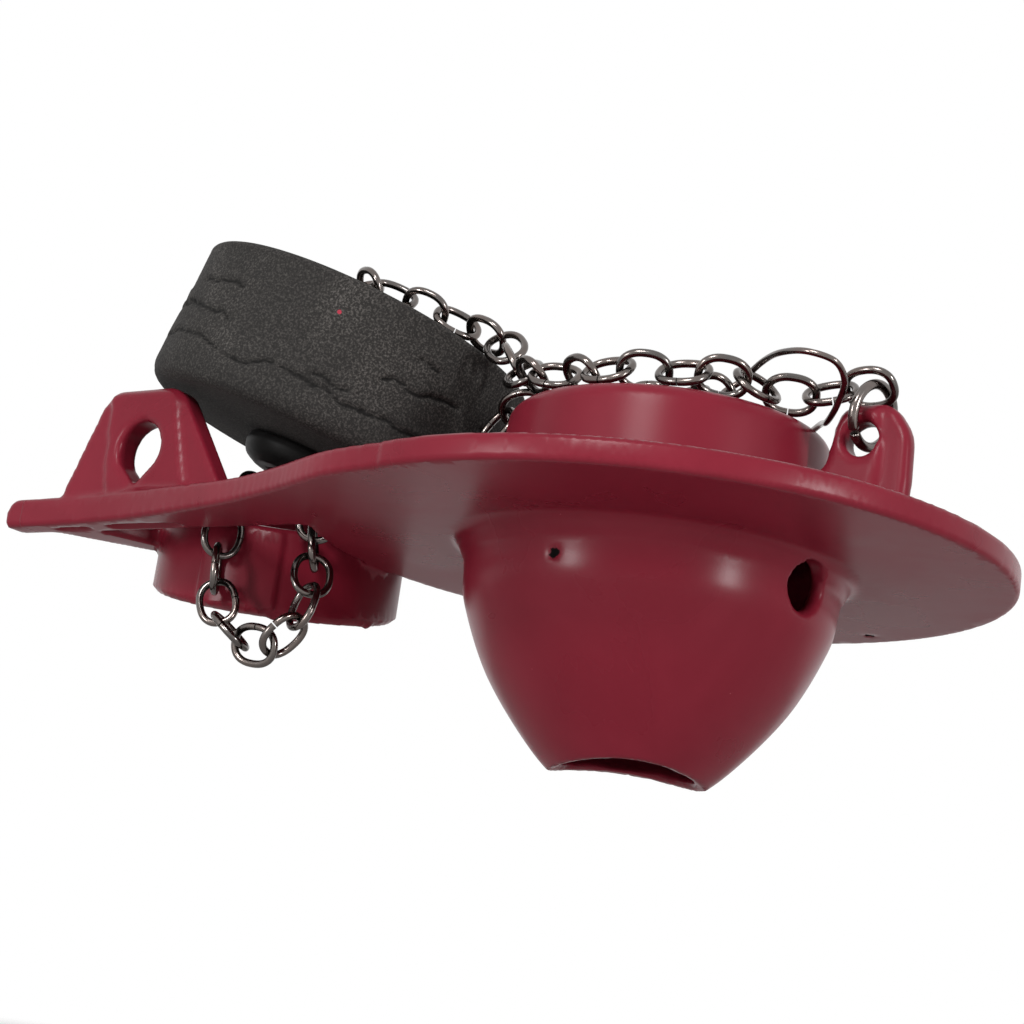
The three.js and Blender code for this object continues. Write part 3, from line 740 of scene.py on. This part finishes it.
low_edge = (FLOAT_RADIUS - FLOAT_LOW_ROUND, -FLOAT_HALF + FLOAT_LOW_ROUND)
top_edge = (FLOAT_RADIUS - FLOAT_TOP_ROUND, FLOAT_HALF - FLOAT_TOP_ROUND)
outline = [
    (FLOAT_BORE, -FLOAT_HALF),
    *arc(low_edge, FLOAT_LOW_ROUND, -90, 0, 9),
    *arc(top_edge, FLOAT_TOP_ROUND, 0, 90, 6),
    (FLOAT_BORE, FLOAT_HALF),
    (FLOAT_BORE, -FLOAT_HALF),
]
float_points, float_faces = turned(refined(outline, FLOAT_STEP)[:-1], FLOAT_SIDES)
print("float:", len(float_points), "points before its wrinkles")

# %% [markdown]
# Foam that has been squeezed keeps wrinkles. On the near side they run across the wall in wavy
# lines, given here as degrees around the float and millimetres above its middle. The far side gets
# more of the same kind from a fixed seed. Each wrinkle is a narrow groove with a soft lip.

# %% Wrinkles in the foam
WRINKLE_DEPTH, WRINKLE_WIDTH = 0.5, 0.4
SWELL, SETTLE = 0.12, 0.08
FAR_SEED = 7
near_wrinkles = [
    [(-112, 4.8), (-104, 4.5), (-95, 5.0), (-88.8, 4.3)],
    [(-118, 1.2), (-111, 0.2), (-105.7, 0.2), (-99, -0.6), (-92.9, -0.4), (-88.8, -1.4)],
    [(-127, -4.6), (-118, -4.9), (-111.5, -4.6), (-100.4, -4.8), (-93.2, -5.5), (-87.2, -6.4)],
    [(-82.5, -7.0), (-74.5, -7.1), (-69.7, -5.6), (-65.6, -5.2)],
    [(-63.3, -5.7), (-57.3, -5.5), (-52.1, -6.1), (-47.5, -5.7), (-43.5, -6.6), (-38, -6.4),
     (-34.2, -6.3), (-30.6, -6.0), (-25.8, -5.8), (-20.8, -5.9), (-12, -5.2)],
    [(-53.3, -4.6), (-50.2, -4.3), (-45.6, -4.9), (-41.6, -4.5)],
    [(-33.7, -0.6), (-29.6, 0.7), (-25, 0.4), (-20.9, 0.5), (-15.2, 1.4), (-10.3, 2.0), (-5.7, 2.1)],
    [(-25.3, 5.3), (-21.9, 5.6), (-17.7, 5.4)],
]
chance = np.random.default_rng(FAR_SEED)
far_wrinkles = []
for degrees in range(8, 228, 18):
    height = chance.uniform(-6.5, 6)
    steps = chance.integers(4, 8)
    far_wrinkles.append([
        (degrees + 6 * k, height + chance.uniform(-0.8, 0.8) + 0.25 * k) for k in range(steps)
    ])


def groove_depth(around, height, path, width):
    """Millimetres to move out: a groove along the path, and a lip above it."""
    line = np.array([(math.radians(degrees) * FLOAT_RADIUS, level) for degrees, level in path])
    here = np.column_stack([around, height])
    away = here - nearest_on(line, here)[0]
    gap = np.linalg.norm(away, axis=-1)
    lip = np.exp(-((gap - 2 * width) / (1.6 * width)) ** 2) * (away[:, 1] > 0)
    return -np.exp(-((gap / width) ** 2)) + 0.45 * lip


turn = np.arctan2(float_points[:, 1], float_points[:, 0])
reach = np.hypot(float_points[:, 0], float_points[:, 1])
level = np.abs(float_points[:, 2])
wall = np.flatnonzero((reach > FLOAT_RADIUS - 2.5) & (level < FLOAT_HALF - 1.2))


def noise_on(spots):
    return np.array([noise.noise(Vector(spot)) for spot in spots])


sway = noise_on(float_points[wall] * 0.35) * 0.55 + noise_on(float_points[wall] * 1.3) * 0.25
out = np.zeros(len(wall))
# the depth of each groove, kept for the painted shade in the wrinkle floors
cut = np.zeros(len(float_points))
for path in near_wrinkles + far_wrinkles:
    middle = np.radians(np.mean([degrees for degrees, _ in path]))
    around = (turn[wall] - middle + math.pi) % (2 * math.pi) - math.pi + middle
    shape = groove_depth(FLOAT_RADIUS * around, float_points[wall, 2] + sway, path, WRINKLE_WIDTH)
    out += WRINKLE_DEPTH * shape
    cut[wall] = np.maximum(cut[wall], -shape)
out = np.minimum(out + SWELL * noise_on(float_points[wall] * 0.16 + 9) - SETTLE, 0)
float_points[wall, :2] *= (1 + out / reach[wall])[:, None]
print("wrinkles:", len(near_wrinkles + far_wrinkles), "deepest", round(float(out.min()), 2), "mm")

# %% Place the float
CRUMB_AROUND, CRUMB_LEVEL = math.radians(-54.4), 6.0
crumb_place = FLOAT_RADIUS * np.array((math.cos(CRUMB_AROUND), math.sin(CRUMB_AROUND), 0))
crumb.inputs["Centre"].default_value = onto_float(crumb_place + (0, 0, CRUMB_LEVEL)) * MM
foam_float = new_piece("foam_float_dressed", onto_float(float_points), float_faces)
# stores the groove depth that the foam uses for painted shade in the wrinkle floors
foam_float.data.attributes.new("wrinkle_depth_for_shade", "FLOAT", "POINT").data.foreach_set("value", cut)
place(foam_float, foam, "foam", "foam_float")

# %% [markdown]
# Under the float sits the hub that grips the chain: a flange with a rounded foot and a stem inside
# the bore. It is turned in the same way, with a smooth line through the flange's corners.

# %% The hub
HUB_FOOT, HUB_FLANGE, HUB_BORE, HUB_STEM, STEM_HEIGHT, HUB_BEVEL = -16.7, 4.4, 4.4, 6.0, 12.0, 0.3
hub_seat = HUB_FOOT + HUB_FLANGE
hub_top = hub_seat + STEM_HEIGHT
hub_edge = [(7.4, HUB_FOOT), (9.2, HUB_FOOT + 1), (10, HUB_FOOT + 2.8), (9.85, hub_seat - 0.4)]
hub_line = [
    (HUB_BORE, HUB_FOOT + HUB_BEVEL), (HUB_BORE + HUB_BEVEL, HUB_FOOT), *smooth_curve(hub_edge, 6),
    (9.5, hub_seat), (HUB_STEM + 0.2, hub_seat), (HUB_STEM, hub_seat + 0.2),
    (HUB_STEM, hub_top - HUB_BEVEL), (HUB_STEM - HUB_BEVEL, hub_top),
    (HUB_BORE + HUB_BEVEL, hub_top), (HUB_BORE, hub_top - HUB_BEVEL),
]
hub_points, hub_faces = turned(refined(hub_line + [hub_line[0]], 0.8)[:-1], 96)
hub = new_piece("float_hub_dressed", onto_float(hub_points), hub_faces)
place(hub, black_plastic, "hub_plastic", "float_hub")

# %% [markdown]
# The hook ring and the clip are bent from round wire. A wire is a circle carried along a line. The
# circle's frame is carried from step to step without twist, and each end gets a small bevel and a
# flat cap, as a cut wire has.

# %% Bend a wire
def bent_wire(name, line, diameter, sides=20, bevel=0.12):
    """A round wire along a line, with a cap at each end."""
    ahead = np.gradient(line, axis=0)
    ahead /= np.linalg.norm(ahead, axis=1, keepdims=True)
    across = np.cross(ahead[0], (0.31, 0.52, 0.79))
    turn = np.linspace(0, 2 * math.pi, sides, endpoint=False)
    radius = diameter / 2
    rows = []
    for k, (middle, way) in enumerate(zip(line, ahead)):
        across = across - way * (across @ way)
        across /= np.linalg.norm(across)
        beside = np.cross(way, across)
        circle = np.cos(turn)[:, None] * across + np.sin(turn)[:, None] * beside
        if k == 0:
            rows += [middle + circle * (radius - bevel), middle + circle * radius + way * bevel]
        elif k == len(line) - 1:
            rows += [middle + circle * radius - way * bevel, middle + circle * (radius - bevel)]
        else:
            rows.append(middle + circle * radius)
    faces = bands(len(rows), sides, closed=False)
    last = (len(rows) - 1) * sides
    faces += [tuple(range(sides))[::-1], tuple(range(last, last + sides))]
    obj = new_piece(name, np.vstack(rows), faces)
    caps = obj.data.attributes.new("sharp_face", "BOOLEAN", "FACE")
    caps.data[len(faces) - 1].value = caps.data[len(faces) - 2].value = True
    return obj


# %% [markdown]
# The hook ring is one turn of thick wire through the ear, with a narrow slit where its ends meet.
# It leans, because it hangs loosely in its hole.

# %% The hook ring
HOOK_CENTRE = np.array((33.5, 0, 21.2))
HOOK_RADIUS, HOOK_WIRE, HOOK_SLIT = 4.5, 1.5, 0.6
HOOK_YAW, HOOK_TILT = math.radians(-8), math.radians(12)
hook_lean = np.array(Matrix.Rotation(HOOK_YAW, 3, "Z") @ Matrix.Rotation(HOOK_TILT, 3, "Y"))
slit = HOOK_SLIT / HOOK_RADIUS
turn = np.linspace(slit / 2, 2 * math.pi - slit / 2, 90) - math.pi / 4
ring_line = HOOK_RADIUS * np.column_stack([np.zeros(len(turn)), -np.cos(turn), np.sin(turn)])
hook = bent_wire("hook_ring_dressed", ring_line @ hook_lean.T + HOOK_CENTRE, HOOK_WIRE)
place(hook, wire_steel, "steel_wire", "hook_ring")

# %% [markdown]
# The clip snaps onto the flush lever. Its wire is thinner and runs in two long legs with a round
# bend in front. The points are shares of its length from the middle of the hook ring, and a curve
# whose speed follows the spacing of the points keeps the tight bends round.

# %% The lever clip
CLIP_LENGTH, CLIP_WIRE = 20.5, 0.95
clip_shape = np.array((
    (-0.893, -0.415, 0.054), (-1, -0.361, 0.107), (-0.912, -0.302, 0.205), (-0.698, -0.38, 0.317),
    (-0.434, -0.566, 0.302), (-0.2, -0.634, 0.263), (-0.044, -0.537, 0.215),
    (-0.054, -0.361, 0.137), (-0.18, -0.195, 0.029), (-0.332, -0.029, -0.029),
    (-0.493, 0.176, 0.024), (-0.727, 0.41, 0.029),
))


def spaced_curve(points, per_span=10):
    """A curve through points, whose speed follows how far apart they are."""
    guide = np.vstack([2 * points[0] - points[1], points, 2 * points[-1] - points[-2]])
    line = []
    for p in range(len(points) - 1):
        a, b, c, d = guide[p:p + 4]
        s, t, u = (np.linalg.norm(y - x) ** 0.5 for x, y in ((a, b), (b, c), (c, d)))
        leave = ((b - a) / s - (c - a) / (s + t) + (c - b) / t) * t
        arrive = ((c - b) / t - (d - b) / (t + u) + (d - c) / u) * t
        for x in np.linspace(0, 1, per_span, endpoint=False):
            line.append(b + leave * x + (3 * (c - b) - 2 * leave - arrive) * x**2
                        + (leave + arrive - 2 * (c - b)) * x**3)
    return np.array([*line, points[-1]])


clip_line = spaced_curve(HOOK_CENTRE + CLIP_LENGTH * clip_shape)
clip = bent_wire("lever_clip_dressed", clip_line, CLIP_WIRE, 16, 0.1)
place(clip, wire_steel, "steel_wire", "lever_clip")

# %% [markdown]
# The chain has 54 open links, all alike: an oval bent from wire, its cut ends almost meeting. A
# link is drawn once by a rule and set on 54 points, so Geometry Nodes suit it. Where each link lies
# is read from its own rigid solid: the long way is the way in which its points spread most, the
# flat way is that of least spread, and the slit is on the side with fewer points.

# %% Read where the links lie
link_names = sorted(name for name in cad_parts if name.startswith("chain_link_"))
link_places, link_turns, link_lengths = [], [], []
for name in link_names:
    points = points_of(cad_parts[name].data)
    points = np.unique(points.round(4), axis=0)
    spread = points - points.mean(axis=0)
    ways = np.linalg.svd(spread, full_matrices=False)[2]
    sizes = spread @ ways.T
    offset = (sizes.max(axis=0) + sizes.min(axis=0)) / 2
    long_way, slit_way = ways[0], ways[1] * (1 if offset[1] > 0 else -1)
    axes = np.column_stack([long_way, slit_way, np.cross(long_way, slit_way)])
    link_places.append(points.mean(axis=0) + offset @ ways)
    link_turns.append(Matrix(axes.tolist()).to_euler("XYZ"))
    link_lengths.append(np.ptp(sizes[:, 0]))
LINK_LENGTH = float(np.median(link_lengths))
print(len(link_names), "links, each", round(LINK_LENGTH, 2), "mm long")

# %% [markdown]
# The tree's rule for one link: a point runs around an oval that is a little fuller than an ellipse,
# from one side of the slit to the other. The line becomes a wire, its cut edges are marked sharp,
# and the wire is set on every point with the turn stored there. A small random tilt and size, from
# a fixed seed, keep the links from looking stamped.

# %% The chain's tree
chain_tree = bpy.data.node_groups.new("chain_of_links", "GeometryNodeTree")
face = chain_tree.interface
face.new_socket("Geometry", in_out="INPUT", socket_type="NodeSocketGeometry")
link_inputs = {
    "Link Length": LINK_LENGTH * MM, "Link Width": 7.0 * MM, "Wire": 1.2 * MM, "Slit Angle": 0.05,
    "Fullness": 2.35, "Tilt": 0.05, "Uneven Size": 0.025,
}
for label in link_inputs:
    face.new_socket(label, in_out="INPUT", socket_type="NodeSocketFloat")
face.new_socket("Seed", in_out="INPUT", socket_type="NodeSocketInt")
face.new_socket("Geometry", in_out="OUTPUT", socket_type="NodeSocketGeometry")


def step_in_tree(kind, values, **settings):
    """The first output of a new node in the chain's tree."""
    return add(chain_tree, kind, values, **settings).outputs[0]


def figure(operation, *values):
    return sum_up(chain_tree, operation, *values)


entry = add(chain_tree, "NodeGroupInput").outputs
half_length, half_width = (
    figure("MULTIPLY", figure("SUBTRACT", entry[size], entry["Wire"]), 0.5)
    for size in ("Link Length", "Link Width")
)

# %% One link by its rule
LINK_POINTS, WIRE_SIDES = 56, 12
thread = step_in_tree("GeometryNodeCurvePrimitiveLine", {"End": (0.01, 0, 0)})
thread = step_in_tree("GeometryNodeResampleCurve", {"Curve": thread, "Count": LINK_POINTS})
run = add(chain_tree, "GeometryNodeSplineParameter").outputs["Factor"]
open_turn = figure("SUBTRACT", 2 * math.pi, entry["Slit Angle"])
angle = figure("MULTIPLY_ADD", run, open_turn, figure("MULTIPLY", entry["Slit Angle"], 0.5))
sine, cosine = (figure(operation, angle) for operation in ("SINE", "COSINE"))
powers = (figure("POWER", figure("ABSOLUTE", part), entry["Fullness"]) for part in (sine, cosine))
fuller = figure("POWER", figure("ADD", *powers), figure("DIVIDE", -1.0, entry["Fullness"]))
oval = step_in_tree("ShaderNodeCombineXYZ", {
    0: figure("MULTIPLY", figure("MULTIPLY", sine, half_length), fuller),
    1: figure("MULTIPLY", figure("MULTIPLY", cosine, half_width), fuller),
})
thread = step_in_tree("GeometryNodeSetPosition", {"Geometry": thread, "Position": oval})
section = step_in_tree("GeometryNodeCurvePrimitiveCircle", {
    "Resolution": WIRE_SIDES, "Radius": figure("MULTIPLY", entry["Wire"], 0.5),
})
link_wire = step_in_tree("GeometryNodeCurveToMesh", {
    "Curve": thread, "Profile Curve": section, "Fill Caps": True,
})
crease = add(chain_tree, "GeometryNodeInputMeshEdgeAngle").outputs["Unsigned Angle"]
cut_edge = step_in_tree("FunctionNodeCompare", {0: crease, 1: 1.0}, operation="GREATER_THAN")
link_wire = step_in_tree("GeometryNodeSetShadeSmooth", {
    "Geometry": link_wire, "Selection": cut_edge, "Shade Smooth": False,
}, domain="EDGE")

# %% Set the links on their points
turn_there = step_in_tree("GeometryNodeInputNamedAttribute", {"Name": "turn"}, data_type="FLOAT_VECTOR")
turn_there = step_in_tree("FunctionNodeEulerToRotation", {0: turn_there})


def random_vector(low, high):
    """Three random values between two, from the tree's seed."""
    seed = {"Seed": entry["Seed"]}
    node = add(chain_tree, "FunctionNodeRandomValue", seed, data_type="FLOAT_VECTOR")
    for slot, value in ((0, low), (1, high)):
        vector = step_in_tree("ShaderNodeCombineXYZ", {0: value, 1: value, 2: value})
        chain_tree.links.new(vector, node.inputs[slot])
    return node.outputs[0]


tilt = random_vector(figure("MULTIPLY", entry["Tilt"], -1.0), entry["Tilt"])
tilt = step_in_tree("FunctionNodeEulerToRotation", {0: tilt})
both = {"Rotation": turn_there, "Rotate By": tilt}
turned_there = step_in_tree("FunctionNodeRotateRotation", both, rotation_space="LOCAL")
size = random_vector(figure("SUBTRACT", 1.0, entry["Uneven Size"]), 1.0)
links = step_in_tree("GeometryNodeInstanceOnPoints", {
    "Points": entry["Geometry"], "Instance": link_wire, "Rotation": turned_there, "Scale": size,
})
links = step_in_tree("GeometryNodeRealizeInstances", {0: links})
links = step_in_tree("GeometryNodeSetMaterial", {"Geometry": links, "Material": chain_steel})
add(chain_tree, "NodeGroupOutput", {0: links})
print("chain tree:", len(chain_tree.nodes), "nodes")

# %% Run the tree and keep a plain mesh
CHAIN_SEED = 4
link_spots = bpy.data.meshes.new("chain_points")
link_spots.from_pydata((np.array(link_places) * MM).tolist(), [], [])
turns = link_spots.attributes.new("turn", "FLOAT_VECTOR", "POINT")
turns.data.foreach_set("vector", np.array([tuple(t) for t in link_turns]).ravel())
spots, growth = modified("chain_points", link_spots, "NODES")
growth.node_group = chain_tree
settings = {**link_inputs, "Seed": CHAIN_SEED}
for item in chain_tree.interface.items_tree:
    if item.in_out == "INPUT" and item.name in settings:
        growth[item.identifier] = settings[item.name]
chain = bpy.data.objects.new("chain_links", keep_result(spots, "chain_links"))
place(chain, chain_steel, "chain_steel", *link_names)

# %% [markdown]
# The flapper hangs over a pale floor, as it does above its valve seat. To the camera the floor
# fades out with distance, so no horizon shows behind the part, and the world behind is white to
# the camera and in reflections. What lights the part is a weaker, even sky.

# %% Floor and sky
FLOOR_LEVEL, FLOOR_RADIUS = -0.085, 0.6
FADE_FROM, FADE_TO = 0.14, 0.42
SKY_LIGHT, SKY_SEEN = 0.28, 1.0
bpy.ops.mesh.primitive_circle_add(
    vertices=96, radius=FLOOR_RADIUS, fill_type="NGON", location=(0, 0, FLOOR_LEVEL),
)
floor = bpy.context.object
floor.name = "floor"
pale, tree, shader, where = finish("pale_floor", Base_Color=(0.76, 0.76, 0.75, 1), Roughness=0.9)
distance = add(tree, "ShaderNodeVectorMath", {0: where}, operation="LENGTH").outputs["Value"]
faded = remap(tree, distance, FADE_FROM, FADE_TO, 1.0, 0.0)
unseen = sum_up(tree, "SUBTRACT", 1.0, add(tree, "ShaderNodeLightPath").outputs["Is Camera Ray"])
tree.links.new(sum_up(tree, "MAXIMUM", faded, unseen), shader.inputs["Alpha"])
floor.data.materials.append(pale)

world = bpy.data.worlds.new("white_studio")
scene.world = world
world.use_nodes = True
tree = world.node_tree
paths = add(tree, "ShaderNodeLightPath").outputs
reflected = sum_up(tree, "MAXIMUM", paths["Is Glossy Ray"], paths["Is Transmission Ray"])
seen = sum_up(tree, "MAXIMUM", paths["Is Camera Ray"], reflected)
background = tree.nodes["Background"]
background.inputs["Color"].default_value = (1, 1, 1, 1)
tree.links.new(remap(tree, seen, 0.0, 1.0, SKY_LIGHT, SKY_SEEN), background.inputs["Strength"])

# %% [markdown]
# Three soft lamps shape the part. Two tall boxes stand left and right of the camera, at about the
# level of the seat face, and give the bell and the rim two soft lights each. A wider one in front
# and above lights the hat.

# %% Lamps
LAMPS_AIM = Vector((-0.01, 0, 0))


def soft_lamp(name, around, above, distance, wide, tall, strength):
    """A lamp at so many degrees around and above the part, sized in metres, in watts."""
    data = bpy.data.lights.new(name, "AREA")
    data.shape = "RECTANGLE"
    data.size, data.size_y = wide, tall
    data.energy = strength
    lamp = bpy.data.objects.new(name, data)
    turn, lift = math.radians(around), math.radians(above)
    way = Vector((math.cos(turn) * math.cos(lift), math.sin(turn) * math.cos(lift), math.sin(lift)))
    lamp.location = LAMPS_AIM + distance * way
    lamp.rotation_euler = way.to_track_quat("Z", "Y").to_euler()
    scene.collection.objects.link(lamp)


soft_lamp("left_box", -105, 5, 0.55, 0.06, 0.13, 1.1)
soft_lamp("right_box", -12, 5, 0.55, 0.06, 0.15, 1.5)
soft_lamp("top_box", -77, 30, 0.6, 0.16, 0.12, 2.0)
scene.view_settings.view_transform = "Standard"
